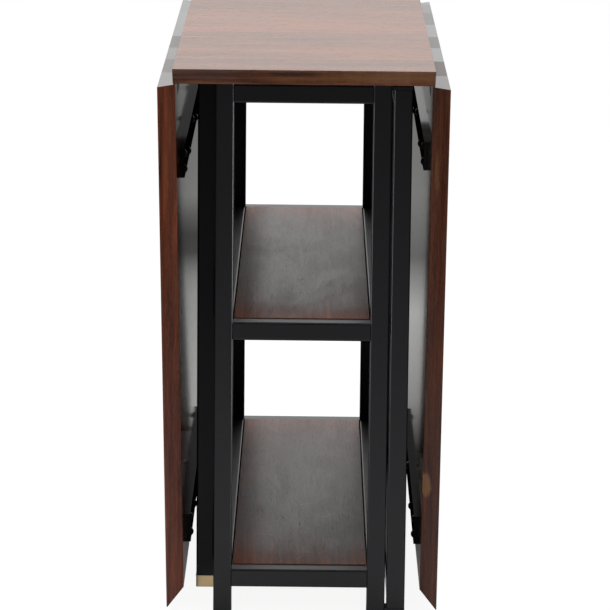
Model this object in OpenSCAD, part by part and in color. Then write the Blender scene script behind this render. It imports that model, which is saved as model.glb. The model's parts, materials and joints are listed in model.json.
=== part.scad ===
// Folding extending table, stored with both leaves hanging and both gate legs shut.
// Millimetres. +Z is up, the floor is z = 0, +X runs from leaf to leaf, +Y along the folded table.
// The origin lies on the floor under the middle of the table.

/* [Top] */
// Height of the table top above the floor
table_h = 760; // [700:1:800]
// Width of the fixed board, from leaf to leaf
board_w = 350; // [320:1:500]
// Depth of the top, along the hinges
top_d = 900; // [760:1:1100]
// Thickness of the board and of the leaves
top_t = 23; // [18:0.5:30]
// Width of the sloping undercut along the outer edges
bevel = 22; // [4:0.5:30]
// Height of the flat left above the undercut
bevel_flat = 1; // [0.5:0.1:3]

/* [Leaves] */
// Length of a leaf from its hinged edge to its outer edge
leaf_len = 720; // [500:1:722]
// Gap between a raised leaf and the board
leaf_gap = 1; // [0.8:0.1:3]
// Inward lean of a leaf that hangs freely, in degrees
leaf_lean = 1.1; // [0:0.1:1.4]
// How much less the right leaf leans, held back by its stiffer hinges, in degrees
right_hold = 0.6; // [0:0.1:1.1]

/* [Leaf bars] */
// Length of the steel bars under a leaf
bar_len = 620; // [400:1:700]
// Height of a bar
bar_h = 40; // [32:1:60]
// Thickness of a bar
bar_t = 6; // [3:0.5:7]
// Distance of an upper bar's middle from the hinged edge of the leaf
bar_inset = 114; // [80:1:200]
// How much further from that edge the left leaf's upper bar is fitted
left_bar_drop = 14; // [0:1:30]
// Distance of a lower bar's middle from the outer edge of the leaf
low_bar_inset = 72; // [52:1:150]
// Distance from the end of a bar to its last pair of screws
bar_screw_end = 20; // [12:1:60]
// Distance between the two rows of screws in a bar
bar_screw_rows = 21.5; // [14:0.5:24]
// Diameter of a domed screw head
dome_d = 11.5; // [8:0.5:12]
// Height of a domed screw head
dome_h = 3.6; // [1.5:0.1:4]

/* [Screws] */
// Diameter of a wood screw's shank
shank_d = 3.8; // [3:0.1:4.5]
// Depth that a wood screw reaches into the wood
screw_bite = 12; // [8:1:13]
// Diameter of a pan head
pan_d = 8; // [7:0.5:10]
// Height of a pan head
pan_h = 2.2; // [1.5:0.1:3]
// Room around a shank in its hole
shank_room = 0.1; // [0.05:0.05:0.3]

/* [Hinges] */
// Number of hinges on each leaf
hinge_n = 3; // [2:1:5]
// Distance from the end of the top to the middle of the last hinge
hinge_inset = 120; // [80:1:200]
// Length of a hinge
hinge_len = 60; // [45:1:90]
// Width of one hinge plate from the pin
plate_w = 28; // [22:1:40]
// Thickness of a hinge plate
plate_t = 2; // [1.5:0.1:2.5]
// Distance of the plate's screws from its outer edge
plate_screw_edge = 11; // [7:0.5:12]
// Distance of the plate's last screws from its ends
plate_screw_end = 11; // [7:0.5:14]
// Outer diameter of a knuckle
knuckle_d = 6.4; // [5.5:0.1:7]
// Diameter of a hinge pin
pin_d = 3; // [2.5:0.1:3.5]
// Height of the pin's axis above the underside of the board
pin_rise = 1.5; // [1:0.1:2]
// Distance of the pin's axis inside the board's edge
pin_inset = 1.5; // [1:0.1:2]
// Gap between neighbouring knuckles
knuckle_gap = 0.4; // [0.3:0.1:1]
// Room around the knuckles in the wood
knuckle_room = 0.4; // [0.3:0.1:1]

/* [Frame] */
// Outer width of the frame
frame_w = 236; // [200:1:240]
// Outer depth of the frame
frame_d = 856; // [780:1:856]
// Side of the square steel tube
tube = 25; // [20:1:26]
// Wall of the steel tube
tube_wall = 1.5; // [1:0.1:2.5]
// Outer corner radius of the tube
tube_r = 2.5; // [2:0.1:4]
// Height of the upper shelf rails' top face
upper_shelf_z = 412; // [300:1:520]
// Height of the lower shelf rails' top face
lower_shelf_z = 64; // [50:1:160]
// Height of the glides under the frame's legs
glide_h = 6; // [4:1:12]

/* [Shelves] */
// Thickness of a shelf board
shelf_t = 16; // [10:0.5:18]
// Height of a shelf board's top above the rails' top
shelf_rise = 1; // [0:0.5:3]
// Gap around a shelf board inside its rails
shelf_gap = 1; // [0.5:0.1:3]

/* [Tabs] */
// Thickness of the welded fixing tabs
tab_t = 3; // [2:0.5:4]
// Width of a tab along its rail
tab_w = 30; // [20:1:50]
// Reach of a tab inward from its rail
tab_reach = 22; // [16:1:30]
// Distance of the end rails' tabs from the middle
end_tab_x = 50; // [30:1:60]
// Distance of the side rails' tabs from the middle
side_tab_y = 200; // [80:1:300]

/* [Gates] */
// Gap between a shut gate and the frame
gate_gap = 2.5; // [2:0.1:4]
// Length of a gate over its post and its leg
gate_len = 731; // [500:1:760]
// Clearance from a gate's top to the underside of the board
gate_top_room = 6; // [6:0.5:16]
// Least room that a leaf keeps from a shut gate, where a wide frame holds it out
gate_room = 1; // [0.5:0.1:3]
// Height of the underside of a gate's bottom rail
gate_rail_z = 20; // [18:1:200]
// Height of the brass foot on a gate's leg
foot_h = 17; // [8:1:40]
// Thickness of a pivot lug
lug_t = 4; // [3:0.5:4]
// Diameter of a gate's pivot pin
pivot_d = 8; // [6:0.5:9]
// Distance from the post's end face to the pivot's axis
pivot_inset = 7.5; // [6.5:0.1:7.8]
// Vertical play between a gate's post and its lugs
pivot_play = 0.5; // [0.3:0.1:1]
// Length of the bush in each end of a gate's post
bush_len = 15; // [10:1:30]
// Radial room of a pin in its bush or knuckle
pin_room = 0.05; // [0.03:0.01:0.1]
// Room of an insert inside a tube
insert_room = 0.1; // [0.05:0.05:0.3]
// Depth of a plastic or brass insert inside a tube
insert_len = 14; // [8:1:40]
// Thickness of the cap on the free leg of a gate
cap_t = 1.5; // [1:0.1:3]

/* [Hidden] */

wood = [0.55, 0.42, 0.34];
black = [0.16, 0.16, 0.175];
plastic = [0.08, 0.08, 0.085];
steel = [0.45, 0.45, 0.46];
brass = [0.66, 0.57, 0.42];
eps = 0.01;

// Heights of the top and the line of the hinge pins
under_z = table_h - top_t;
pin_x = board_w / 2 - pin_inset;
pin_z = under_z + pin_rise;
// Hinged edge of a hanging leaf below the pin, and its inner face beside the pin
edge_v = -(pin_inset + leaf_gap);
face_u = -pin_rise;

// Middle of each bar below the pin, and the screws in it
function upper_bar_v(side) = edge_v - bar_inset - (side < 0 ? left_bar_drop : 0);
lower_bar_v = edge_v - leaf_len + low_bar_inset;
bar_rows = [-bar_screw_rows / 2, bar_screw_rows / 2];
bar_pair_y = bar_len / 2 - bar_screw_end;

// Screws: bore in wood and steel, and length and end of the point
hole_d = shank_d + 2 * shank_room;
shank_tip = 1.5;
tip_d = 1;
sink_h = min((pan_d - shank_d) / 2, plate_t);

// Inner corner radius of the tube, also on what is fitted into it
least_r = 0.5;
inner_r = max(tube_r - tube_wall, least_r);

// Frame lines
leg_x = (frame_w - tube) / 2;
leg_y = (frame_d - tube) / 2;
rail_x = frame_w / 2 - tube;
rail_y = frame_d / 2 - tube;

// Gate lines, for the right gate, whose post stands at the front
gate_x = frame_w / 2 + gate_gap + tube / 2;
post_y = -leg_y;
free_y = post_y + gate_len - tube;
gate_top = under_z - gate_top_room;
lug_low_z = glide_h;
post_foot = lug_low_z + lug_t + pivot_play;
lug_high_z = gate_top + pivot_play;
pivot_y = post_y - tube / 2 + pivot_inset;
rail_cut = free_y - post_y - tube;

// A leaf leans in until its weight hangs under the pin, or until its lowest screws reach the gate
screw_u = face_u - bar_t - dome_h;
screw_v = lower_bar_v - bar_rows[1] - dome_d / 2;
gate_lean = asin((pin_x + screw_u - gate_x - tube / 2 - gate_room) / -screw_v);
function hang_lean(side) = min(leaf_lean - (side > 0 ? right_hold : 0), gate_lean);

hinge_at = [for (i = [0 : hinge_n - 1]) (2 * i / (hinge_n - 1) - 1) * (top_d / 2 - hinge_inset)];

// Outline of a square with round corners, centred
module rounded_square(side, r) {
    square([side - 2 * r, side], center = true);
    square([side, side - 2 * r], center = true);
    for (x = [-1, 1], y = [-1, 1])
        translate([x * (side / 2 - r), y * (side / 2 - r)]) circle(r, $fn = 48);
}

// Square tube along Z from z = 0
module tube_z(length) {
    inner = tube - 2 * tube_wall;
    linear_extrude(length) difference() {
        rounded_square(tube, tube_r);
        rounded_square(inner, inner_r);
    }
}

// The same tube along X or Y, centred
module tube_x(length) translate([-length / 2, 0, 0]) rotate([0, 90, 0]) tube_z(length);
module tube_y(length) translate([0, length / 2, 0]) rotate([90, 0, 0]) tube_z(length);

// Insert that closes the end of a tube, along Z from z = 0
module insert_z(length) {
    side = tube - 2 * (tube_wall + insert_room);
    linear_extrude(length) rounded_square(side, inner_r);
}

// Shank of a screw along +Z from z = 0, with its point at length
module shank(length) {
    cylinder(length - shank_tip, d = shank_d, $fn = 32);
    translate([0, 0, length - shank_tip]) cylinder(shank_tip, d1 = shank_d, d2 = tip_d, $fn = 32);
}

// Pan-headed screw along +Z, its head below z = 0
module pan_screw(length) {
    translate([0, 0, -pan_h]) cylinder(pan_h, d = pan_d, $fn = 48);
    shank(length);
}

// Domed screw along +Z, seated at z = 0
module dome_screw(length) {
    dome_r = (dome_d * dome_d / 4 + dome_h * dome_h) / (2 * dome_h);
    intersection() {
        translate([0, 0, dome_r - dome_h]) sphere(dome_r, $fn = 64);
        translate([0, 0, -dome_h]) cylinder(dome_h, d = dome_d, $fn = 48);
    }
    shank(length);
}

// Countersunk screw along +Z, its head's top flush with z = 0
module flat_screw(length) {
    cylinder(sink_h, d1 = pan_d, d2 = pan_d - 2 * sink_h, $fn = 48);
    shank(length);
}

// Hole for the same screw, wider all round
module flat_screw_hole(length) {
    wide_d = pan_d + 2 * shank_room;
    translate([0, 0, -eps]) cylinder(sink_h + eps, d1 = wide_d, d2 = wide_d - 2 * sink_h, $fn = 48);
    translate([0, 0, -eps]) cylinder(length + eps, d = hole_d, $fn = 32);
}

// A side is 1 on the right and -1 on the left
module on_side(side) {
    if (side > 0) children();
    else mirror([1, 0, 0]) children();
}

// Places what is drawn with the pin at the origin: u outward on X, v up on Z
module at_pin(side) on_side(side) translate([pin_x, 0, pin_z]) children();
module hanging(side) at_pin(side) rotate([0, hang_lean(side), 0]) children();

// Hinge parts are drawn for the plate of the board, which lies inward of the pin.
// The three knuckles take equal shares of the hinge, the middle one on the leaf's plate.
knuckle_len = hinge_len / 3;

module knuckle(y0, length, d) {
    translate([0, y0 + length, 0]) rotate([90, 0, 0]) cylinder(length, d = d, $fn = 64);
}

module plate_screw_sites() {
    end_y = hinge_len / 2 - plate_screw_end;
    for (y = [-end_y, 0, end_y])
        translate([-plate_w + plate_screw_edge, y, -pin_rise]) children();
}

// Plate with knuckles at both ends for the board, or in the middle for the leaf
module hinge_plate(middle) {
    root = knuckle_d / 2 + knuckle_room;
    difference() {
        union() {
            translate([-plate_w, -hinge_len / 2, -pin_rise])
                cube([plate_w - root, hinge_len, plate_t]);
            for (y0 = middle ? [-knuckle_len / 2] : [-hinge_len / 2, knuckle_len / 2])
                let (a = y0 + (middle || y0 > 0 ? knuckle_gap / 2 : 0),
                     length = knuckle_len - (middle ? knuckle_gap : knuckle_gap / 2)) {
                    knuckle(a, length, knuckle_d);
                    translate([-root - eps, a, -pin_rise]) cube([root + eps, length, plate_t]);
                }
        }
        knuckle(-hinge_len / 2 - eps, hinge_len + 2 * eps, pin_d + 2 * pin_room);
        plate_screw_sites() flat_screw_hole(plate_t + eps);
    }
}

// Everything that is cut out of the wood for one hinge plate
module hinge_recess() {
    translate([-plate_w, -hinge_len / 2, -pin_rise - knuckle_room])
        cube([plate_w, hinge_len, plate_t + knuckle_room]);
    knuckle(-hinge_len / 2, hinge_len, knuckle_d + 2 * knuckle_room);
    plate_screw_sites() translate([0, 0, plate_t - eps]) cylinder(screw_bite + eps, d = hole_d, $fn = 32);
}

// Turns the board's plate into the plate of a hanging leaf
module as_leaf_plate() mirror([1, 0, -1]) children();

module at_hinges() for (y = hinge_at) translate([0, y, 0]) children();

// Top board with its ends undercut
module board_blank() {
    end_y = top_d / 2;
    flat_z = table_h - bevel_flat;
    translate([-board_w / 2, 0, 0]) rotate([90, 0, 90]) linear_extrude(board_w) polygon([
        [-end_y, table_h], [end_y, table_h], [end_y, flat_z],
        [end_y - bevel, under_z], [-end_y + bevel, under_z], [-end_y, flat_z]
    ]);
}

module fixed_board() color(wood) difference() {
    board_blank();
    for (side = [-1, 1]) at_pin(side) at_hinges() hinge_recess();
    tab_sites(under_z - tab_t) screw_hole_up(screw_bite + tab_t);
}

// Leaf in pin coordinates: an upright slab with three undercut edges
module leaf_blank() {
    low_v = edge_v - leaf_len;
    out_u = face_u + top_t;
    flat_u = out_u - bevel_flat;
    intersection() {
        translate([0, top_d / 2, 0]) rotate([90, 0, 0]) linear_extrude(top_d) polygon([
            [face_u, edge_v], [out_u, edge_v], [out_u, low_v], [flat_u, low_v], [face_u, low_v + bevel]
        ]);
        translate([0, 0, low_v]) linear_extrude(leaf_len) polygon([
            [out_u, -top_d / 2], [out_u, top_d / 2], [flat_u, top_d / 2],
            [face_u, top_d / 2 - bevel], [face_u, -top_d / 2 + bevel], [flat_u, -top_d / 2]
        ]);
    }
}

// Screw sites of one bar on its inner face: pairs at both ends, then one row after the other
module bar_screw_sites() {
    for (y = [-bar_pair_y, bar_pair_y], v = bar_rows)
        translate([face_u - bar_t, y, v]) rotate([0, 90, 0]) children();
    for (y = [-bar_pair_y / 2, bar_pair_y / 2])
        translate([face_u - bar_t, y, bar_rows[0]]) rotate([0, 90, 0]) children();
    translate([face_u - bar_t, 0, bar_rows[1]]) rotate([0, 90, 0]) children();
}

module leaf(side) color(wood) hanging(side) difference() {
    leaf_blank();
    at_hinges() as_leaf_plate() hinge_recess();
    for (v = [upper_bar_v(side), lower_bar_v]) translate([0, 0, v]) bar_screw_sites()
        cylinder(bar_t + screw_bite, d = hole_d, $fn = 32);
}

module leaf_bar(side, v) color(black) hanging(side) translate([0, 0, v]) difference() {
    translate([face_u - bar_t, -bar_len / 2, -bar_h / 2]) cube([bar_t, bar_len, bar_h]);
    bar_screw_sites() translate([0, 0, -eps]) cylinder(bar_t + 2 * eps, d = hole_d, $fn = 32);
}

module bar_screws(side) color(black) hanging(side)
    for (v = [upper_bar_v(side), lower_bar_v]) translate([0, 0, v]) bar_screw_sites()
        dome_screw(bar_t + screw_bite);

module hinge_leaf_plates(side) color(black) hanging(side) at_hinges() as_leaf_plate() hinge_plate(true);

module hinge_leaf_screws(side) color(black) hanging(side) at_hinges() as_leaf_plate()
    plate_screw_sites() flat_screw(plate_t + screw_bite);

module hinge_board_plates(side) color(black) at_pin(side) at_hinges() hinge_plate(false);

module hinge_pins(side) color(steel) at_pin(side) at_hinges() knuckle(-hinge_len / 2, hinge_len, pin_d);

module hinge_board_screws() color(black) for (side = [-1, 1]) at_pin(side) at_hinges()
    plate_screw_sites() flat_screw(plate_t + screw_bite);

// Frame
module leg(x, y) color(black) translate([x * leg_x, y * leg_y, glide_h]) tube_z(under_z - glide_h);

module end_rail(y, top) color(black)
    translate([0, y * leg_y, top - tube / 2]) tube_x(2 * rail_x);

module side_rail(x, top) color(black)
    translate([x * leg_x, 0, top - tube / 2]) tube_y(2 * rail_y);

module leg_glides() color(plastic) for (x = [-1, 1], y = [-1, 1])
    translate([x * leg_x, y * leg_y, 0]) {
        linear_extrude(glide_h) rounded_square(tube, tube_r);
        translate([0, 0, glide_h]) insert_z(insert_len);
    }

// Shelf boards
module shelf(top) {
    size = [2 * (rail_x - shelf_gap), 2 * (rail_y - shelf_gap), shelf_t];
    low = top + shelf_rise - shelf_t;
    color(wood) difference() {
        translate([0, 0, low + shelf_t / 2]) cube(size, center = true);
        tab_sites(low - tab_t) screw_hole_up(screw_bite + tab_t);
    }
}

// Sites of the fixing tabs at the screw in each tab's middle, at height z
module tab_sites(z) {
    for (x = [-end_tab_x, end_tab_x], y = [-1, 1])
        translate([x, y * (rail_y - tab_reach / 2), z]) rotate([0, 0, y > 0 ? 0 : 180]) children();
    for (x = [-1, 1], y = [-side_tab_y, side_tab_y])
        translate([x * (rail_x - tab_reach / 2), y, z]) rotate([0, 0, x > 0 ? -90 : 90]) children();
}

module screw_hole_up(length) translate([0, 0, -eps]) cylinder(length + eps, d = hole_d, $fn = 32);

module tab() difference() {
    translate([-tab_w / 2, -tab_reach / 2, 0]) cube([tab_w, tab_reach, tab_t]);
    screw_hole_up(tab_t + eps);
}

shelf_under = [for (top = [upper_shelf_z, lower_shelf_z]) top + shelf_rise - shelf_t];

module shelf_tabs() color(black) for (low = shelf_under) tab_sites(low - tab_t) tab();
module shelf_screws() color(steel) for (low = shelf_under) tab_sites(low - tab_t)
    pan_screw(tab_t + screw_bite);
module board_tabs() color(black) tab_sites(under_z - tab_t) tab();
module board_screws() color(steel) tab_sites(under_z - tab_t)
    pan_screw(tab_t + screw_bite);

// The left gate is the right one turned half round the table's middle
module gate_side(side) rotate([0, 0, side > 0 ? 0 : 180]) children();

module gate_lugs() color(black) for (side = [-1, 1], z = [lug_low_z, lug_high_z])
    gate_side(side) difference() {
        translate([frame_w / 2, post_y - tube / 2, z]) cube([gate_gap + tube, tube, lug_t]);
        translate([gate_x, pivot_y, z - eps])
            cylinder(lug_t + 2 * eps, d = pivot_d + 2 * pin_room, $fn = 48);
    }

module gate_pivot_pins() color(steel) for (side = [-1, 1]) gate_side(side)
    translate([gate_x, pivot_y, 0]) {
        translate([0, 0, lug_low_z]) cylinder(lug_t + pivot_play + bush_len, d = pivot_d, $fn = 48);
        translate([0, 0, gate_top - bush_len])
            cylinder(bush_len + pivot_play + lug_t, d = pivot_d, $fn = 48);
    }

module gate_post(side) color(black) gate_side(side)
    translate([gate_x, post_y, post_foot]) tube_z(gate_top - post_foot);

module gate_bushes(side) color(steel) gate_side(side) for (z = [post_foot, gate_top - bush_len])
    difference() {
        translate([gate_x, post_y, z]) insert_z(bush_len);
        translate([gate_x, pivot_y, z - eps])
            cylinder(bush_len + 2 * eps, d = pivot_d + 2 * pin_room, $fn = 48);
    }

module gate_leg(side) color(black) gate_side(side)
    translate([gate_x, free_y, foot_h]) tube_z(gate_top - cap_t - foot_h);

module gate_foot(side) color(brass) gate_side(side) translate([gate_x, free_y, 0]) {
    linear_extrude(foot_h) rounded_square(tube, tube_r);
    translate([0, 0, foot_h]) insert_z(insert_len);
}

module gate_cap(side) color(plastic) gate_side(side) translate([gate_x, free_y, gate_top - cap_t]) {
    linear_extrude(cap_t) rounded_square(tube, tube_r);
    translate([0, 0, -insert_len]) insert_z(insert_len);
}

module gate_rail(side, low) color(black) gate_side(side)
    translate([gate_x, (post_y + free_y) / 2, low + tube / 2]) tube_y(rail_cut);

fixed_board();
shelf(upper_shelf_z);  // upper_shelf
shelf(lower_shelf_z);  // lower_shelf
leg(-1, -1);  // front_left_leg
leg(1, -1);  // front_right_leg
leg(-1, 1);  // rear_left_leg
leg(1, 1);  // rear_right_leg
end_rail(-1, under_z);  // front_top_rail
end_rail(1, under_z);  // rear_top_rail
side_rail(-1, under_z);  // left_top_rail
side_rail(1, under_z);  // right_top_rail
end_rail(-1, upper_shelf_z);  // front_upper_rail
end_rail(1, upper_shelf_z);  // rear_upper_rail
side_rail(-1, upper_shelf_z);  // left_upper_rail
side_rail(1, upper_shelf_z);  // right_upper_rail
end_rail(-1, lower_shelf_z);  // front_lower_rail
end_rail(1, lower_shelf_z);  // rear_lower_rail
side_rail(-1, lower_shelf_z);  // left_lower_rail
side_rail(1, lower_shelf_z);  // right_lower_rail
shelf_tabs();
shelf_screws();
board_tabs();
board_screws();
leg_glides();
gate_lugs();
gate_pivot_pins();
hinge_board_plates(-1);  // left_hinge_board_plates
hinge_board_plates(1);  // right_hinge_board_plates
hinge_pins(-1);  // left_hinge_pins
hinge_pins(1);  // right_hinge_pins
hinge_board_screws();
leaf(-1);  // left_leaf
leaf_bar(-1, upper_bar_v(-1));  // left_upper_bar
leaf_bar(-1, lower_bar_v);  // left_lower_bar
bar_screws(-1);  // left_bar_screws
hinge_leaf_plates(-1);  // left_hinge_leaf_plates
hinge_leaf_screws(-1);  // left_hinge_leaf_screws
leaf(1);  // right_leaf
leaf_bar(1, upper_bar_v(1));  // right_upper_bar
leaf_bar(1, lower_bar_v);  // right_lower_bar
bar_screws(1);  // right_bar_screws
hinge_leaf_plates(1);  // right_hinge_leaf_plates
hinge_leaf_screws(1);  // right_hinge_leaf_screws
gate_post(-1);  // left_gate_post
gate_leg(-1);  // left_gate_leg
gate_rail(-1, gate_top - tube);  // left_gate_top_rail
gate_rail(-1, gate_rail_z);  // left_gate_bottom_rail
gate_bushes(-1);  // left_gate_bushes
gate_foot(-1);  // left_gate_foot
gate_cap(-1);  // left_gate_cap
gate_post(1);  // right_gate_post
gate_leg(1);  // right_gate_leg
gate_rail(1, gate_top - tube);  // right_gate_top_rail
gate_rail(1, gate_rail_z);  // right_gate_bottom_rail
gate_bushes(1);  // right_gate_bushes
gate_foot(1);  // right_gate_foot
gate_cap(1);  // right_gate_cap
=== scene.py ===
import bpy
import bmesh
import json
import math
from mathutils import Matrix, Vector


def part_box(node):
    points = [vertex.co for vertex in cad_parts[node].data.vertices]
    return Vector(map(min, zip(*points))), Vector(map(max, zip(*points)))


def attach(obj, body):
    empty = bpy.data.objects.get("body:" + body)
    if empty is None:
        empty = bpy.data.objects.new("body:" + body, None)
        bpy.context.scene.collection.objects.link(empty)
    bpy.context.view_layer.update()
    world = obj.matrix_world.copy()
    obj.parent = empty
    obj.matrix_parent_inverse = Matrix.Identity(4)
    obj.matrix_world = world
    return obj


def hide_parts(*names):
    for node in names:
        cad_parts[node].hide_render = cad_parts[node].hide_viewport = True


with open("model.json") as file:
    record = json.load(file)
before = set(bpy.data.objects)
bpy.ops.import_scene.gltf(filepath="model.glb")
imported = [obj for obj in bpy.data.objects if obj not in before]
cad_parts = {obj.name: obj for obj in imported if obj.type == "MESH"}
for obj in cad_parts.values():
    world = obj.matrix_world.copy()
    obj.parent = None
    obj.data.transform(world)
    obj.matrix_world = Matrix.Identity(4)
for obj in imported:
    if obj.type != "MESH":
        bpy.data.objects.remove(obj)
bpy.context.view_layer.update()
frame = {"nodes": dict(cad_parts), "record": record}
cad = frame["nodes"]

# Camera of the photograph, in metres and degrees
CAMERA_PLACE = (0.0108, -4.9561, 1.4387)
CAMERA_PITCH = 12.474
CAMERA_TURN = 0.082
CAMERA_ROLL = 0.595
CAMERA_LENS = 202.64
CAMERA_REACH = 200.0
SENSOR = 36.0

# Sky: its light, the white that is seen, and how it is mirrored from the camera's side to the far side
SKY_LIGHT = 0.38
SEEN_WHITE = 1.0
DARK_SIDE = 0.05
SKY_TURNS_WHITE = (0.10, 0.75)

# Lamps: the softbox above, and the strips with their side, power and the legs that they show in
SOFTBOX_SIZE = 2.6
SOFTBOX_HEIGHT = 3.0
SOFTBOX_POWER = 54.0
STRIP_PLACE = (1.0, -0.75, 0.45)
STRIP_AIM = (0.0, -0.43, 0.45)
STRIP_SIZE = (0.5, 1.0)
STRIPS = [(1, 16.0, ("front_left_leg",)), (-1, 8.0, ("front_right_leg", "right_gate_post"))]

# Floor, as light falls on it and as the camera sees it
FLOOR_SIDE = 80.0
FLOOR_WHITE = 0.82
FLOOR_GLOW = 0.91
FLOOR_SHADE = 0.22

# Floor, as shiny faces see it: a painted reflection. Its tone follows the place along the table, given as
# a share of
# MIRRORED_LENGTH from MIRRORED_START, with zones of its own left of the table's middle.
MIRRORED_START = -3.5
MIRRORED_LENGTH = 6.5
MIRRORED_DARK = (0.05, 0.05, 0.045)
MIRRORED_GREY = (0.30, 0.30, 0.295)
MIRRORED_NEAR = [(0.0, (0.20, 0.20, 0.235)), (0.46, (0.80, 0.80, 0.84)), (0.57, MIRRORED_DARK)]
MIRRORED_RIGHT = [(0.61, MIRRORED_DARK), (0.66, MIRRORED_GREY), (0.77, (0.50, 0.50, 0.49)),
                  (0.85, (0.18, 0.18, 0.175)), (0.96, MIRRORED_GREY)]
MIRRORED_LEFT = [(0.60, 0.05), (0.643, 0.46), (0.69, 0.42), (0.74, 0.39), (0.79, 0.37), (0.818, 0.30),
                 (0.855, 0.085), (0.885, 0.08), (0.916, 0.156), (0.954, 0.29)]
MIRRORED_WARMTH = 0.98
MIRRORED_SPLIT = (-0.012, 0.004)

# It fades out to the sides. A painted glow brightens it for shiny faces, more strongly in a patch under
# the table
MIRRORED_FADE = (0.4, 2.4)
MIRRORED_FADED = 0.85
MIRRORED_PAINTED_GLOW = 0.20
UNDER_PAINTED_GLOW = 0.80
UNDER_WIDTH = (0.142, 0.147)
UNDER_LENGTH = (0.37, 0.39)

# Softened edges of the wood and the brass
WOOD_EASE = 0.0005
LONG_EDGE = 0.065
SHARP_TURN = math.radians(20)
FOOT_CHAMFER = 0.0012
SHOE_SKIN = 0.0003
SHOE_RIM = 0.0026
SHOE_RIM_STEP = 0.8
SHOE_RIM_MIDDLE = 0.9
SHOE_WALL = 0.0118
SHOE_SMOOTH = math.radians(40)

# What counts as one place, one vertex and one flat face in the frame's meshes
SAME_PLACE = 1e-5
SAME_VERTEX = 1e-6
SAME_FLAT = math.radians(0.3)

# Roughness of the flat bars' cut edges
SHEARED_DULL = 0.05

# Slight bow of the left leaf and its bars along the table
LEFT_BOW = 0.0076

# Screws: the cross recess in each head, turned further by CROSS_TURN degrees from head to head
LEAF_LEAN = {"left": 1.1, "right": 0.5}
CROSS_LENGTH = 0.0046
CROSS_WIDTH = 0.0010
CROSS_DEPTH = 0.0013
CROSS_TURN = 37
SCREW_SMOOTH = math.radians(35)


# Helpers for shader nodes

def add(tree, kind, inputs=None, **settings):
    """A shader node whose inputs are values, or sockets that it is linked to."""
    made = tree.nodes.new("ShaderNode" + kind)
    for name, value in settings.items():
        setattr(made, name, value)
    for name, value in (inputs or {}).items():
        if isinstance(value, bpy.types.NodeSocket):
            tree.links.new(value, made.inputs[name])
        else:
            made.inputs[name].default_value = value
    return made


def calc(tree, operation, *values):
    """One step of arithmetic on numbers or sockets."""
    return add(tree, "Math", dict(enumerate(values)), operation=operation).outputs[0]


def vector(tree, operation, *values):
    """One step of arithmetic on vectors or sockets."""
    return add(tree, "VectorMath", dict(enumerate(values)), operation=operation).outputs[0]


def apart(tree, source):
    """The X, Y and Z of a vector or a colour."""
    return add(tree, "SeparateXYZ", {0: source}).outputs


def noise(tree, source, scale=1.0, detail=2.0, roughness=0.5):
    """Smooth noise between 0 and 1."""
    return add(tree, "TexNoise", {"Vector": source, "Scale": scale, "Detail": detail,
                                  "Roughness": roughness}).outputs["Fac"]


def grained(tree, source, along, across, detail, roughness):
    """Noise drawn out along the grain. along and across are its scales."""
    return noise(tree, vector(tree, "MULTIPLY", source, (along, across, across)), 1.0, detail, roughness)


def between(tree, value, low, high, to_low=0.0, to_high=1.0):
    """Maps low..high to to_low..to_high with a soft start and end."""
    made = add(tree, "MapRange", {"Value": value, "From Min": low, "From Max": high,
                                  "To Min": to_low, "To Max": to_high},
               interpolation_type="SMOOTHSTEP")
    return made.outputs["Result"]


def blended(tree, factor, first, second, how="MIX"):
    """A mix of two colours."""
    made = add(tree, "MixRGB", {"Fac": factor, "Color1": first, "Color2": second}, blend_type=how)
    return made.outputs["Color"]


def shades(tree, value, stops):
    """A colour ramp of (place, colour) stops."""
    made = add(tree, "ValToRGB", {"Fac": value})
    ramp = made.color_ramp
    while len(ramp.elements) < len(stops):
        ramp.elements.new(1.0)
    for element, (place, colour) in zip(ramp.elements, stops):
        element.position = place
        element.color = (*colour, 1.0)
    return made.outputs["Color"]


def node_group(name, inputs, outputs):
    """An empty shader group, with its input sockets and its output sockets."""
    tree = bpy.data.node_groups.new(name, "ShaderNodeTree")
    for label, kind, value in inputs:
        socket = tree.interface.new_socket(label, in_out="INPUT", socket_type="NodeSocket" + kind)
        socket.default_value = value
    for label, kind in outputs:
        tree.interface.new_socket(label, in_out="OUTPUT", socket_type="NodeSocket" + kind)
    return tree, tree.nodes.new("NodeGroupInput").outputs, tree.nodes.new("NodeGroupOutput").inputs


# Shader groups

WOOD_DARK = (0.040, 0.016, 0.009)
WOOD_BROWN = (0.115, 0.048, 0.022)
WOOD_RED = (0.180, 0.075, 0.032)
WOOD_ORANGE = (0.300, 0.140, 0.058)
WOOD_RAMP = [(0.10, WOOD_DARK), (0.42, WOOD_BROWN), (0.72, WOOD_RED), (0.98, WOOD_ORANGE)]
SAWN_RAMP = [(0.25, (0.022, 0.018, 0.015)), (1.0, (0.085, 0.062, 0.052))]
LIGHT_LINE = (0.22, 0.17, 0.14)

# Planks, the seams between them and the growth rings in each
PLANKS_PER_METRE = 8.0
PLANK_SHIFT = (3.1, 0.9, 0.7)
PLANK_BLOCKS = (0.2, 0.8)
SEAM_REACH = 0.006
SEAM_SHADE = 0.5
HEART_DEPTH = 0.06
RING_RATE = 620.0
RING_LIMITS = (-0.2, 1.0)
BEND_SCALE = (3.0, 9.0, 9.0)
MIDDLE_TONE = 0.45

# Patterns of the grain: scale along it and across it, then detail and roughness of the noise
STREAKS = (6.0, 80.0, 4.0, 0.62)
THREADS = (22.0, 340.0, 4.0, 0.7)
PORES = (60.0, 1300.0, 1.0, 0.5)
CLOUDS = (3.0, 14.0, 3.0, 0.5)
FLECKS = (5.0, 170.0, 3.0, 0.6)
PORE_LIMITS = (0.60, 0.72)
PORE_SHADE = 0.55

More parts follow.
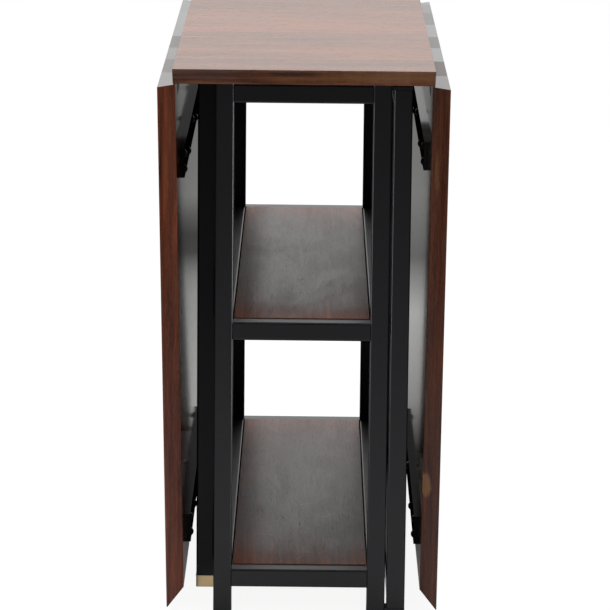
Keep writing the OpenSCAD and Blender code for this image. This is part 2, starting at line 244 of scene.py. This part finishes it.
# Thin light lines of wild grain: contours of a noise, bent by another and shown in patches
LINE_STRETCH = (0.30, 1.0, 1.0)
LINE_WHIRLS = 9.0
LINE_BEND = (0.16, 0.16, 0.16)
LINE_SCALE = 7.0
LINE_COUNT = 13.0
LINE_WIDTH = 0.07
LINE_PATCHES = (0.42, 0.60)
MOTTLE_SCALE = 14.0
MOTTLE_LIMITS = (0.35, 0.65)

# How much each pattern lightens the wood, and what is taken off again
STREAK_TONE = (1.25, 0.48)
RING_TONE = (0.16, 0.0)
THREAD_TONE = (0.75, 0.33)
CLOUD_TONE = (0.80, 0.20)
PLANK_TONE = (0.30, 0.15)
FLECK_TONE = (1.3, 0.20)

# What each pattern adds to the roughness and to the height
DULL_THREADS = 0.10
DULL_PORES = 0.12
DULL_ENDS = 0.34
DULL_MOTTLE = 0.035
SAWN_THREADS = 0.4
HIGH_THREADS = 0.35
HIGH_STREAKS = 0.5
HIGH_PORES = -0.5
HIGH_LINES = 1.2
HIGH_SEAMS = -0.6


def hardwood_group():
    """Dark red-brown planks. Grain runs along X of its coordinates, planks lie side by side on Y."""
    tree, given, result = node_group(
        "dark_hardwood",
        [("Grain", "Vector", (0, 0, 0)), ("Start", "Float", 0.0), ("Tint", "Color", (1, 1, 1, 1)),
         ("Swirl", "Float", 0.02), ("Dull", "Float", 0.25), ("End", "Float", 0.0),
         ("Figure", "Float", 0.0), ("Contrast", "Float", 1.0), ("Short", "Float", 0.0)],
        [("Color", "Color"), ("Roughness", "Float"), ("Height", "Float")])
    grain = given["Grain"]
    cells = {"W": calc(tree, "ADD", apart(tree, grain)["Y"], given["Start"]),
             "Scale": PLANKS_PER_METRE, "Randomness": 0.5}
    plank = add(tree, "TexVoronoi", cells, voronoi_dimensions="1D").outputs["Color"]
    joint = add(tree, "TexVoronoi", cells, voronoi_dimensions="1D",
                feature="DISTANCE_TO_EDGE").outputs["Distance"]
    plank_tone = apart(tree, plank)
    shifted = vector(tree, "MULTIPLY_ADD", plank, PLANK_SHIFT, grain)

    # Slow bends of the fibres, stronger where the wood swirls
    bend = add(tree, "TexNoise", {"Vector": vector(tree, "MULTIPLY", shifted, BEND_SCALE),
                                  "Scale": 1.0, "Detail": 2.0}).outputs["Color"]
    bend = vector(tree, "SUBTRACT", bend, (0.5, 0.5, 0.5))
    fibre = vector(tree, "ADD", shifted, vector(tree, "MULTIPLY", bend, given["Swirl"]))

    # Growth rings round a heart below the plank
    heart = apart(tree, fibre)
    below = calc(tree, "POWER", calc(tree, "ADD", heart["Z"], HEART_DEPTH), 2.0)
    reach = calc(tree, "SQRT", calc(tree, "ADD", calc(tree, "POWER", heart["Y"], 2.0), below))
    rings = between(tree, calc(tree, "SINE", calc(tree, "MULTIPLY", reach, RING_RATE)), *RING_LIMITS)

    # Streaks, threads and pores along the grain, and short flecks in their place where Short says so
    streaks = grained(tree, fibre, *STREAKS)
    threads = grained(tree, fibre, *THREADS)
    pores = between(tree, grained(tree, fibre, *PORES), *PORE_LIMITS)
    clouds = grained(tree, shifted, *CLOUDS)
    flecks = grained(tree, fibre, *FLECKS)
    tone = 0.0
    for pattern, (weight, less) in ((streaks, STREAK_TONE), (rings, RING_TONE), (threads, THREAD_TONE),
                                    (clouds, CLOUD_TONE), (plank_tone["X"], PLANK_TONE)):
        tone = calc(tree, "SUBTRACT", calc(tree, "MULTIPLY_ADD", pattern, weight, tone), less)
    short = calc(tree, "MULTIPLY_ADD", flecks, FLECK_TONE[0], -FLECK_TONE[1])
    tone = blended(tree, given["Short"], tone, short)
    tone = calc(tree, "SUBTRACT", tone, MIDDLE_TONE)
    tone = calc(tree, "MULTIPLY_ADD", tone, given["Contrast"], MIDDLE_TONE)
    colour = shades(tree, tone, WOOD_RAMP)
    seam = between(tree, joint, 0.0, SEAM_REACH, 1.0, 0.0)
    for darker, share in ((pores, PORE_SHADE), (seam, SEAM_SHADE)):
        colour = blended(tree, calc(tree, "MULTIPLY", darker, share), colour, (*WOOD_DARK, 1))
    colour = blended(tree, 1.0, colour, given["Tint"], "MULTIPLY")

    # Light lines, which run on along the boards from plank to plank
    offset = add(tree, "CombineXYZ", {"X": given["Start"], "Y": given["Start"]}).outputs[0]
    drawn = vector(tree, "ADD", vector(tree, "MULTIPLY", grain, LINE_STRETCH), offset)
    whirl = add(tree, "TexNoise", {"Vector": drawn, "Scale": LINE_WHIRLS, "Detail": 3.0}).outputs["Color"]
    wander = vector(tree, "ADD", drawn, vector(tree, "MULTIPLY", whirl, LINE_BEND))
    contour = calc(tree, "MULTIPLY", noise(tree, wander, LINE_SCALE, 1.0), LINE_COUNT)
    contour = calc(tree, "FRACT", contour)
    contour = calc(tree, "ABSOLUTE", calc(tree, "SUBTRACT", contour, 0.5))
    patchy = between(tree, noise(tree, drawn, LINE_WHIRLS, 2.0), *LINE_PATCHES)
    line = calc(tree, "MULTIPLY", between(tree, contour, 0.0, LINE_WIDTH, 1.0, 0.0), patchy)
    line = calc(tree, "MULTIPLY", line, given["Figure"])
    colour = blended(tree, line, colour, (*LIGHT_LINE, 1))

    # Sawn ends show the planks' blocks
    planks = between(tree, plank_tone["Y"], *PLANK_BLOCKS)
    sawn = shades(tree, calc(tree, "MULTIPLY_ADD", threads, SAWN_THREADS, planks), SAWN_RAMP)
    tree.links.new(blended(tree, given["End"], colour, sawn), result["Color"])

    mottled = noise(tree, wander, MOTTLE_SCALE, 4.0, 0.6)
    mottled = between(tree, mottled, *MOTTLE_LIMITS, -DULL_MOTTLE, DULL_MOTTLE)
    dull = given["Dull"]
    for pattern, weight in ((threads, DULL_THREADS), (mottled, given["Figure"]),
                            (calc(tree, "MULTIPLY", given["End"], planks), DULL_ENDS),
                            (pores, DULL_PORES)):
        dull = calc(tree, "MULTIPLY_ADD", pattern, weight, dull)
    tree.links.new(dull, result["Roughness"])
    height = 0.0
    for pattern, weight in ((streaks, HIGH_STREAKS), (threads, HIGH_THREADS), (pores, HIGH_PORES),
                            (line, HIGH_LINES), (seam, HIGH_SEAMS)):
        height = calc(tree, "MULTIPLY_ADD", pattern, weight, height)
    tree.links.new(height, result["Height"])
    return tree


# How ragged the edge of a patch of sapwood is, and where it ends
RAGGED_SCALE = (160.0, 40.0, 30.0)
RAGGED = 0.7
PATCH_END = 1.05


def sapwood_group():
    """A patch of sapwood or heartwood with a soft streaky edge, round a place on the wood."""
    tree, given, result = node_group(
        "sapwood_patch",
        [("Color", "Color", (0, 0, 0, 1)), ("Place", "Vector", (0, 0, 0)), ("Middle", "Vector", (0, 0, 0)),
         ("Reach", "Vector", (1, 1, 1)), ("Strength", "Float", 1.0), ("Core", "Float", 0.75),
         ("Sap", "Color", (*WOOD_ORANGE, 1))],
        [("Color", "Color")])
    away = vector(tree, "SUBTRACT", given["Place"], given["Middle"])
    away = vector(tree, "DIVIDE", away, given["Reach"])
    far = add(tree, "VectorMath", {0: away}, operation="LENGTH").outputs["Value"]
    ragged = noise(tree, vector(tree, "MULTIPLY", given["Place"], RAGGED_SCALE), detail=3.0)
    far = calc(tree, "ADD", far, calc(tree, "MULTIPLY_ADD", ragged, RAGGED, -RAGGED / 2))
    mask = between(tree, far, given["Core"], PATCH_END, 1.0, 0.0)
    mask = calc(tree, "MULTIPLY", mask, given["Strength"])
    tree.links.new(blended(tree, mask, given["Color"], given["Sap"]), result["Color"])
    return tree


# Dust and unevenness of a sprayed or moulded skin
DUST = (0.10, 0.10, 0.10)
DUST_SCALE = 240.0
DUST_LIMITS = (0.55, 0.8)
DUST_SHARE = 0.05
UNEVEN_SCALE = 9.0
UNEVEN_TONE = 0.18
UNEVEN_DULL = 0.08


def fine_texture_group():
    """Skin of a sprayed or moulded finish: small pebbles, slight unevenness and faint dust."""
    tree, given, result = node_group(
        "fine_texture",
        [("Place", "Vector", (0, 0, 0)), ("Pebbles", "Float", 900.0),
         ("Tint", "Color", (0.5, 0.5, 0.5, 1)), ("Dull", "Float", 0.4)],
        [("Color", "Color"), ("Roughness", "Float"), ("Height", "Float")])
    place = given["Place"]
    uneven = noise(tree, place, UNEVEN_SCALE, 3.0)
    dust = between(tree, noise(tree, place, DUST_SCALE, 4.0), *DUST_LIMITS)
    colour = blended(tree, calc(tree, "MULTIPLY", dust, DUST_SHARE), given["Tint"], (*DUST, 1))
    colour = blended(tree, calc(tree, "MULTIPLY", uneven, UNEVEN_TONE), colour, (0, 0, 0, 1))
    tree.links.new(colour, result["Color"])
    tree.links.new(calc(tree, "MULTIPLY_ADD", uneven, UNEVEN_DULL, given["Dull"]), result["Roughness"])
    tree.links.new(noise(tree, place, given["Pebbles"]), result["Height"])
    return tree


HARDWOOD = hardwood_group()
SAPWOOD = sapwood_group()
FINE_TEXTURE = fine_texture_group()


# Materials

def new_material(name):
    """An empty node material, with its tree, its surface shader and the object's coordinates."""
    made = bpy.data.materials.new(name)
    made.use_nodes = True
    tree = made.node_tree
    tree.nodes.clear()
    surface = add(tree, "BsdfPrincipled")
    output = add(tree, "OutputMaterial")
    tree.links.new(surface.outputs["BSDF"], output.inputs["Surface"])
    place = add(tree, "TexCoord").outputs["Object"]
    return made, tree, surface, place


def normal_of(tree):
    """The X, Y and Z of the direction that the object's surface faces."""
    return apart(tree, add(tree, "TexCoord").outputs["Normal"])


def finish(tree, surface, colour, roughness, height, depth, strength, bow=0.0):
    """Links what changes over the surface to its shader. bow tilts the surface along Y."""
    tree.links.new(colour, surface.inputs["Base Color"])
    tree.links.new(roughness, surface.inputs["Roughness"])
    bump = add(tree, "Bump", {"Height": height, "Distance": depth, "Strength": strength})
    if bow:
        along = apart(tree, add(tree, "TexCoord").outputs["Object"])["Y"]
        bump = add(tree, "Bump", {"Height": calc(tree, "MULTIPLY", along, -1.0), "Distance": bow,
                                  "Strength": 1.0, "Normal": bump.outputs["Normal"]})
    tree.links.new(bump.outputs["Normal"], surface.inputs["Normal"])


# Share of the normal along an axis from which a face counts as facing along it
END_GRAIN_FACING = (0.80, 0.95)
SAWN_FACING = (0.3, 0.6)
TOP_FACING = (0.5, 0.9)
BROAD_FACING = (0.4, 0.8)

WOOD_IOR = 1.5
WOOD_BUMP = 0.5
SKIN_BUMP = 0.4

# The fixed board's undercut edges have more contrast than its top, which has shorter streaks
EDGE_CONTRAST = 1.1
TOP_SHORT = 0.45

# The shelves are duller at the left and at the front. Their colour is warmer at both ends than in the
# middle:
# painted light, for the light that reaches the ends of the shelves more than their middle
SHELF_LEFT = (-0.10, -0.04)
SHELF_LEFT_DULL = 0.16
SHELF_FRONT = (-0.41, -0.28)
SHELF_FRONT_DULL = 0.09
SHELF_ENDS = (0.16, 0.41)
SHELF_MIDDLE_SHADED_TINT = (0.82, 0.95, 0.98)
SHELF_END_LIT_TINT = (1.22, 1.06, 0.90)


def wood_material(name, order, start, tint, swirl, dull, patches=(), relief=0.0002, figure=0.0,
                  bow=0.0, top_contrast=0.0, sawn_ends=0.0, contrast=1.0):
    """Satin lacquered hardwood. order names the axes along the grain, across it and through it."""
    made, tree, surface, place = new_material(name)
    axes = apart(tree, place)
    normal = normal_of(tree)
    grain = add(tree, "CombineXYZ", {i: axes[axis] for i, axis in enumerate(order)}).outputs[0]
    end = between(tree, calc(tree, "ABSOLUTE", normal[order[0]]), *END_GRAIN_FACING)
    wood = add(tree, "Group", {"Grain": grain, "Start": start, "Tint": (*tint, 1), "Swirl": swirl,
                               "Dull": dull, "End": end, "Figure": figure, "Contrast": contrast},
               node_tree=HARDWOOD)
    colour = wood.outputs["Color"]
    if sawn_ends:
        toward_end = calc(tree, "ABSOLUTE", normal["Y"])
        sawn = between(tree, toward_end, *SAWN_FACING, dull, dull + sawn_ends)
        tree.links.new(sawn, wood.inputs["Dull"])
    if top_contrast:
        upper = between(tree, normal["Z"], *TOP_FACING)
        stronger = between(tree, upper, 0.0, 1.0, EDGE_CONTRAST, top_contrast)
        tree.links.new(stronger, wood.inputs["Contrast"])
        tree.links.new(calc(tree, "MULTIPLY", upper, TOP_SHORT), wood.inputs["Short"])
    if figure:
        left = between(tree, axes["X"], *SHELF_LEFT, SHELF_LEFT_DULL, 0.0)
        front = between(tree, axes["Y"], *SHELF_FRONT, SHELF_FRONT_DULL, 0.0)
        worn = calc(tree, "ADD", calc(tree, "ADD", left, front), dull)
        tree.links.new(worn, wood.inputs["Dull"])
        # Painted light: a warmer tint at the shelf's ends and a greyer one in its middle
        ends = between(tree, calc(tree, "ABSOLUTE", axes["Y"]), *SHELF_ENDS)
        painted_light_tint = blended(tree, ends, (*SHELF_MIDDLE_SHADED_TINT, 1), (*SHELF_END_LIT_TINT, 1))
        colour = blended(tree, 1.0, colour, painted_light_tint, "MULTIPLY")
    for middle, reach, strength, core, tone in patches:
        patch = add(tree, "Group", {"Color": colour, "Place": place, "Middle": middle, "Reach": reach,
                                    "Strength": strength, "Core": core, "Sap": (*tone, 1)},
                    node_tree=SAPWOOD)
        colour = patch.outputs["Color"]
    finish(tree, surface, colour, wood.outputs["Roughness"], wood.outputs["Height"], relief, WOOD_BUMP,
           bow)
    surface.inputs["IOR"].default_value = WOOD_IOR
    return made


def textured_material(name, tint, dull, pebbles, depth, metallic=0.0, gloss=0.5, sheared=0.0, bow=0.0):
    """Paint, plastic or metal with a fine skin. sheared is the clear coat that only cut edges have."""
    made, tree, surface, place = new_material(name)
    skin = add(tree, "Group", {"Place": place, "Pebbles": pebbles, "Tint": (*tint, 1), "Dull": dull},
               node_tree=FINE_TEXTURE).outputs
    if sheared:
        broad = calc(tree, "ABSOLUTE", normal_of(tree)["X"])
        coat = between(tree, broad, *BROAD_FACING, sheared, 0.0)
        tree.links.new(coat, surface.inputs["Coat Weight"])
        surface.inputs["Coat Roughness"].default_value = SHEARED_DULL
    finish(tree, surface, skin["Color"], skin["Roughness"], skin["Height"], depth, SKIN_BUMP, bow)
    surface.inputs["Metallic"].default_value = metallic
    surface.inputs["Specular IOR Level"].default_value = gloss
    return made


def bar_material(name, sheared, bow=0.0):
    """A blackened flat bar with matt faces and shinier cut edges."""
    return textured_material(name, (0.002, 0.002, 0.0022), 0.40, 900.0, 0.000001, gloss=0.0,
                             sheared=sheared, bow=bow)


# Patches of other wood: middle, reach on each axis, strength, share that is solid, and colour
HEARTWOOD = (0.045, 0.024, 0.022)
BOARD_SAP = [((0.13, -0.45, 0.748), (0.22, 0.03, 0.018), 0.65, 0.2, WOOD_ORANGE),
             ((-0.12, -0.45, 0.750), (0.11, 0.03, 0.016), 0.55, 0.3, HEARTWOOD),
             ((-0.015, -0.45, 0.754), (0.050, 0.03, 0.006), 0.85, 0.3, HEARTWOOD)]
RIGHT_SAP = [((0.1785, -0.45, 0.620), (0.0045, 0.03, 0.045), 0.6, 0.1, WOOD_ORANGE),
             ((0.1672, -0.45, 0.188), (0.0125, 0.03, 0.0225), 0.80, 0.85, WOOD_ORANGE)]
LEFT_SAP = [((-0.184, -0.45, 0.620), (0.004, 0.03, 0.075), 0.15, 0.2, WOOD_ORANGE)]

WOOD_LOOKS = {
    "fixed_board": wood_material("board_wood", "XYZ", 0.31, (1.84, 1.45, 1.19), 0.003, 0.20, BOARD_SAP,
                                 0.00008, top_contrast=1.05),
    "left_leaf": wood_material("left_leaf_wood", "ZYX", 4.17, (1.35, 0.76, 0.66), 0.014, 0.0, LEFT_SAP,
                               0.00001, bow=LEFT_BOW, sawn_ends=0.22),
    "right_leaf": wood_material("right_leaf_wood", "ZYX", 9.43, (0.86, 0.56, 0.46), 0.016, 0.0, RIGHT_SAP,
                                0.00001, sawn_ends=0.22),
    "upper_shelf": wood_material("upper_shelf_wood", "YXZ", 2.06, (1.90, 1.20, 0.95), 0.020, 0.32,
                                 figure=0.7, contrast=0.8),
    "lower_shelf": wood_material("lower_shelf_wood", "YXZ", 6.38, (1.80, 1.20, 0.95), 0.015, 0.32,
                                 figure=0.6, contrast=0.8),
}

BLACK_PAINT = textured_material("black_powder_coat", (0.005, 0.005, 0.0055), 0.28, 1300.0, 0.00001)
BLACK_SCREW = textured_material("blackened_screw_steel", (0.010, 0.010, 0.010), 0.28, 2500.0, 0.000008)
BLACK_PLASTIC = textured_material("moulded_black_plastic", (0.013, 0.013, 0.0135), 0.48, 1800.0, 0.00002)
ZINC = textured_material("zinc_plated_steel", (0.62, 0.62, 0.60), 0.30, 1500.0, 0.00001, metallic=1.0)
BRASS = textured_material("satin_brass", (0.66, 0.50, 0.27), 0.34, 2200.0, 0.00001, metallic=1.0)

# The left gate stands in its leaf's shade in the photo, so its paint is darker than the frame's
LEFT_GATE_PAINT = textured_material("black_powder_coat_of_left_gate", (0.003, 0.003, 0.0033), 0.30, 1300.0,
                                    0.00001, gloss=0.3)

# The cut edge of the right leaf's upper bar shines in the photo, and the others are dark
LEFT_BAR = bar_material("blackened_left_flat_bar", 0.10, LEFT_BOW)
BAR_LOOKS = {"left_upper_bar": LEFT_BAR, "left_lower_bar": LEFT_BAR,
             "right_upper_bar": bar_material("blackened_upper_flat_bar", 0.7),
             "right_lower_bar": bar_material("blackened_flat_bar", 0.08)}
SLOT_LOOKS = {"black_steel": BLACK_PAINT, "black_plastic": BLACK_PLASTIC, "bare_steel": ZINC,
              "brass": BRASS}


def look_of(node, slot):
    """The material of one of the frame's nodes."""
    if node in WOOD_LOOKS:
        return WOOD_LOOKS[node]
    if node in BAR_LOOKS:
        return BAR_LOOKS[node]
    if slot == "black_steel" and node.startswith("left_gate"):
        return LEFT_GATE_PAINT
    if slot == "black_steel" and node.endswith("_screws"):
        return BLACK_SCREW
    return SLOT_LOOKS[slot]


# Helpers for shapes

def only(obj):
    """Makes obj the one selected and active object."""
    bpy.ops.object.select_all(action="DESELECT")
    obj.select_set(True)
    bpy.context.view_layer.objects.active = obj


def painted(obj, material):
    """Gives obj one material."""
    obj.data.materials.clear()
    obj.data.materials.append(material)


def placed(obj, name, body, slot, material, *stands_for):
    """Names and paints a finished piece, hangs it on its body and hides the nodes that it stands for."""
    obj.name = name
    obj.data.name = name
    painted(obj, material)
    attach(obj, body)
    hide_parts(*stands_for)


def body_of(node):
    """The body that a node rides on."""
    bodies = frame["record"]["behaviour"]["bodies"]
    return next(body for body, members in bodies.items() if node in members)


def copy_of(node):
    """A merged copy of a node's mesh, as a new object."""
    made = bpy.data.objects.new(node + "_copy", cad[node].data.copy())
    bpy.context.scene.collection.objects.link(made)
    only(made)
    bpy.ops.object.mode_set(mode="EDIT")
    bpy.ops.mesh.select_all(action="SELECT")
    bpy.ops.mesh.remove_doubles(threshold=SAME_VERTEX)
    bpy.ops.mesh.dissolve_limited(angle_limit=SAME_FLAT)
    bpy.ops.mesh.select_all(action="DESELECT")
    bpy.ops.object.mode_set(mode="OBJECT")
    return made


def eased_board(node, name):
    """A board whose long outer edges are softened, as sanding leaves them."""
    made = copy_of(node)
    bpy.ops.object.mode_set(mode="EDIT")
    shape = bmesh.from_edit_mesh(made.data)
    for edge in shape.edges:
        turn = edge.calc_face_angle(0.0)
        edge.select_set(turn > SHARP_TURN and edge.calc_length() > LONG_EDGE)
    bmesh.update_edit_mesh(made.data)
    bpy.ops.mesh.bevel(offset=WOOD_EASE, segments=2, affect="EDGES", clamp_overlap=True)
    bpy.ops.object.mode_set(mode="OBJECT")
    bpy.ops.object.shade_flat()
    placed(made, name, body_of(node), "wood", WOOD_LOOKS[node], node)


def islands(obj):
    """The lowest and highest corner of each separate solid in obj."""
    shape = bmesh.new()
    shape.from_mesh(obj.data)
    left = set(shape.verts)
    found = []
    while left:
        reached = [left.pop()]
        for vert in reached:
            for edge in vert.link_edges:
                other = edge.other_vert(vert)
                if other in left:
                    left.discard(other)
                    reached.append(other)
        places = [vert.co.copy() for vert in reached]
        found.append((Vector([min(place[i] for place in places) for i in range(3)]),
                      Vector([max(place[i] for place in places) for i in range(3)])))
    shape.free()
    return sorted(found, key=lambda box: tuple(box[0]))


def joined(parts):
    """Several objects made into one."""
    bpy.ops.object.select_all(action="DESELECT")
    for part in parts:
        part.select_set(True)
    bpy.context.view_layer.objects.active = parts[0]
    bpy.ops.object.join()
    bpy.ops.object.transform_apply(location=True, rotation=True, scale=True)
    return bpy.context.object


def cut_from(obj, cutter):
    """Cuts one object out of another."""
    only(obj)
    cut = obj.modifiers.new("cut", "BOOLEAN")
    cut.operation = "DIFFERENCE"
    cut.solver = "EXACT"
    cut.object = cutter
    bpy.ops.object.modifier_apply(modifier=cut.name)
    bpy.data.objects.remove(cutter, do_unlink=True)


def crossed_screws(side):
    """The domed screws of a leaf's bars, each with a cross recess turned its own way."""
    node = side + "_bar_screws"
    made = copy_of(node)
    inward = 1 if side == "left" else -1
    lean = math.radians(LEAF_LEAN[side]) * inward
    heads = islands(made)
    for quarter in (0, 90):
        bars = []
        for count, (low, high) in enumerate(heads):
            tip = Vector((high.x if inward > 0 else low.x, (low.y + high.y) / 2, (low.z + high.z) / 2))
            bpy.ops.object.select_all(action="DESELECT")
            bpy.ops.mesh.primitive_cube_add(size=1)
            bar = bpy.context.object
            turn = (Matrix.Rotation(lean, 4, "Y")
                    @ Matrix.Rotation(math.radians(quarter + CROSS_TURN * count % 90), 4, "X"))
            bar.matrix_world = (Matrix.Translation(tip) @ turn
                                @ Matrix.Diagonal((2 * CROSS_DEPTH, CROSS_LENGTH, CROSS_WIDTH, 1)))
            bpy.context.view_layer.update()
            bars.append(bar)
        cut_from(made, joined(bars))
    only(made)
    bpy.ops.object.shade_smooth_by_angle(angle=SCREW_SMOOTH)
    placed(made, side + "_domed_screws", body_of(node), "black_steel", BLACK_SCREW, node)


def shoe(side):
    """A brass shoe on a gate's free leg, with a raised upper rim and an eased sole."""
    node = side + "_gate_foot"
    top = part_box(side + "_gate_leg")[0].z
    low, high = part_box(node)
    middle = (low + high) / 2

    def outside(vert):
        """Whether a vertex is on the outer wall."""
        return max(abs(vert.co.x - middle.x), abs(vert.co.y - middle.y)) > SHOE_WALL

    def chosen(edge, near):
        """Whether an edge is sharp and near holds at both of its ends."""
        return all(near(vert) for vert in edge.verts) and edge.calc_face_angle(0.0) > SHARP_TURN

    made = copy_of(node)
    bpy.ops.object.mode_set(mode="EDIT")
    for above in (SHOE_RIM, SHOE_RIM * SHOE_RIM_STEP):
        bpy.ops.mesh.select_all(action="SELECT")
        bpy.ops.mesh.bisect(plane_co=(0, 0, top - above), plane_no=(0, 0, 1))
    shape = bmesh.from_edit_mesh(made.data)
    for vert in shape.verts:
        if vert.co.z < top + SAME_PLACE and outside(vert):
            swell = SHOE_SKIN * (2 if vert.co.z > top - SHOE_RIM * SHOE_RIM_MIDDLE else 1)
            vert.co.x += math.copysign(swell, vert.co.x - middle.x)
            vert.co.y += math.copysign(swell, vert.co.y - middle.y)
    for edge in shape.edges:
        edge.select_set(chosen(edge, lambda vert: abs(vert.co.z) < SAME_PLACE))
    bmesh.update_edit_mesh(made.data)
    bpy.ops.mesh.bevel(offset=FOOT_CHAMFER, segments=3, affect="EDGES")
    for edge in bmesh.from_edit_mesh(made.data).edges:
        edge.select_set(chosen(edge, lambda vert: abs(vert.co.z - top) < SAME_PLACE and outside(vert)))
    bpy.ops.mesh.bevel(offset=SHOE_SKIN, segments=3, affect="EDGES")
    bpy.ops.mesh.select_all(action="SELECT")
    bpy.ops.mesh.normals_make_consistent(inside=False)
    bpy.ops.object.mode_set(mode="OBJECT")
    bpy.ops.object.shade_smooth_by_angle(angle=SHOE_SMOOTH)
    placed(made, side + "_brass_shoe", body_of(node), "brass", BRASS, node)


# Pieces of wood

BOARDS = {"fixed_board": "board", "left_leaf": "left_leaf_board", "right_leaf": "right_leaf_board",
          "upper_shelf": "upper_shelf_board", "lower_shelf": "lower_shelf_board"}

for board, piece in BOARDS.items():
    eased_board(board, piece)

# Pieces of metal

for side in ("left", "right"):
    crossed_screws(side)
    shoe(side)

# Finish of the frame's own nodes

for part in frame["record"]["subparts"]:
    painted(cad[part["node"]], look_of(part["node"], part["material_slot"]))


# Light, floor and camera

def white_world():
    """A sky that lights softly, and is seen white and mirrored dark on the camera's own side."""
    world = bpy.data.worlds.new("studio")
    world.use_nodes = True
    tree = world.node_tree
    tree.nodes.clear()
    path = add(tree, "LightPath").outputs
    way = apart(tree, add(tree, "TexCoord").outputs["Generated"])
    mirrored = between(tree, way["Y"], *SKY_TURNS_WHITE, DARK_SIDE, SEEN_WHITE)
    level = calc(tree, "MULTIPLY_ADD", path["Is Glossy Ray"],
                 calc(tree, "SUBTRACT", mirrored, SKY_LIGHT), SKY_LIGHT)
    seen = calc(tree, "MAXIMUM", path["Is Camera Ray"], path["Is Transmission Ray"])
    level = calc(tree, "ADD", calc(tree, "MULTIPLY", level, calc(tree, "SUBTRACT", 1.0, seen)),
                 calc(tree, "MULTIPLY", seen, SEEN_WHITE))
    back = add(tree, "Background", {"Color": (1, 1, 1, 1), "Strength": level})
    tree.links.new(back.outputs[0], add(tree, "OutputWorld").inputs["Surface"])
    bpy.context.scene.world = world


def mirrored_floor(tree):
    """What shiny faces see of the floor: a painted reflection, with a painted glow."""
    spot = apart(tree, add(tree, "TexCoord").outputs["Object"])
    aside = calc(tree, "ABSOLUTE", spot["X"])
    along = calc(tree, "MULTIPLY_ADD", spot["Y"], 1 / MIRRORED_LENGTH, -MIRRORED_START / MIRRORED_LENGTH)
    # Painted reflection: the floor's tone in shiny faces, zone by zone along the table
    left_zones = [(place, (level, level, level * MIRRORED_WARMTH)) for place, level in MIRRORED_LEFT]
    right = shades(tree, along, MIRRORED_NEAR + MIRRORED_RIGHT)
    left = shades(tree, along, MIRRORED_NEAR + left_zones)
    tone = blended(tree, between(tree, spot["X"], *MIRRORED_SPLIT, 1.0, 0.0), right, left)
    fade = between(tree, aside, *MIRRORED_FADE, 0.0, MIRRORED_FADED)
    tone = blended(tree, fade, tone, (0, 0, 0, 1))
    # Painted glow: an emission that only shiny faces see, stronger in a patch under the table
    under = calc(tree, "MULTIPLY", between(tree, aside, *UNDER_WIDTH, 1.0, 0.0),
                 between(tree, calc(tree, "ABSOLUTE", spot["Y"]), *UNDER_LENGTH, 1.0, 0.0))
    painted_glow = calc(tree, "MULTIPLY_ADD", under, UNDER_PAINTED_GLOW, MIRRORED_PAINTED_GLOW)
    matt = add(tree, "BsdfDiffuse", {"Color": tone})
    glow = add(tree, "Emission", {"Color": tone, "Strength": painted_glow})
    return add(tree, "AddShader", {0: matt.outputs[0], 1: glow.outputs[0]}).outputs[0]


def white_floor():
    """A white floor that keeps the table's shadow."""
    bpy.ops.object.select_all(action="DESELECT")
    bpy.ops.mesh.primitive_plane_add(size=FLOOR_SIDE, location=(0, 0, 0))
    floor = bpy.context.object
    floor.name = "floor"
    made = bpy.data.materials.new("white_floor")
    made.use_nodes = True
    tree = made.node_tree
    tree.nodes.clear()
    path = add(tree, "LightPath").outputs
    seen = calc(tree, "MAXIMUM", path["Is Camera Ray"], path["Is Transmission Ray"])
    matt = add(tree, "BsdfDiffuse", {"Color": (FLOOR_WHITE, FLOOR_WHITE, FLOOR_WHITE, 1)})
    shade = add(tree, "BsdfDiffuse", {"Color": (FLOOR_SHADE, FLOOR_SHADE, FLOOR_SHADE, 1)})
    glow = add(tree, "Emission", {"Color": (1, 1, 1, 1), "Strength": FLOOR_GLOW})
    bright = add(tree, "AddShader", {0: shade.outputs[0], 1: glow.outputs[0]})
    shown = add(tree, "MixShader", {0: seen, 1: matt.outputs[0], 2: bright.outputs[0]})
    both = add(tree, "MixShader", {0: path["Is Glossy Ray"], 1: shown.outputs[0],
                                   2: mirrored_floor(tree)})
    tree.links.new(both.outputs[0], add(tree, "OutputMaterial").inputs["Surface"])
    painted(floor, made)


def softbox():
    """A wide lamp above the table."""
    lamp = bpy.data.lights.new("softbox", "AREA")
    lamp.size = SOFTBOX_SIZE
    lamp.energy = SOFTBOX_POWER
    holder = bpy.data.objects.new("softbox", lamp)
    holder.location = (0, 0, SOFTBOX_HEIGHT)
    bpy.context.scene.collection.objects.link(holder)


def strip_lamps():
    """A panel at each side ahead, which shows only in the rounded corners of the legs opposite."""
    for side, power, legs in STRIPS:
        lamp = bpy.data.lights.new("strip", "AREA")
        lamp.shape = "RECTANGLE"
        lamp.size, lamp.size_y = STRIP_SIZE
        lamp.energy = power
        holder = bpy.data.objects.new("strip", lamp)
        holder.location = (side * STRIP_PLACE[0], *STRIP_PLACE[1:])
        toward = Vector(STRIP_AIM) - holder.location
        holder.rotation_euler = toward.to_track_quat("-Z", "Y").to_euler()
        holder.visible_diffuse = False
        holder.visible_camera = False
        opposite = bpy.data.collections.new("legs_opposite")
        for leg in legs:
            opposite.objects.link(cad[leg])
        holder.light_linking.receiver_collection = opposite
        bpy.context.scene.collection.objects.link(holder)


def photo_camera():
    """The camera at the photograph's place and angle."""
    lens = bpy.data.cameras.new("photo_camera")
    lens.sensor_width = SENSOR
    lens.lens = CAMERA_LENS
    lens.clip_end = CAMERA_REACH
    made = bpy.data.objects.new("photo_camera", lens)
    bpy.context.scene.collection.objects.link(made)
    turned = (Matrix.Rotation(math.radians(CAMERA_TURN), 4, "Z")
              @ Matrix.Rotation(math.radians(90 - CAMERA_PITCH), 4, "X")
              @ Matrix.Rotation(math.radians(CAMERA_ROLL), 4, "Z"))
    made.matrix_world = Matrix.Translation(CAMERA_PLACE) @ turned
    bpy.context.scene.camera = made


white_world()
white_floor()
softbox()
strip_lamps()
photo_camera()
bpy.context.scene.view_settings.view_transform = "Standard"
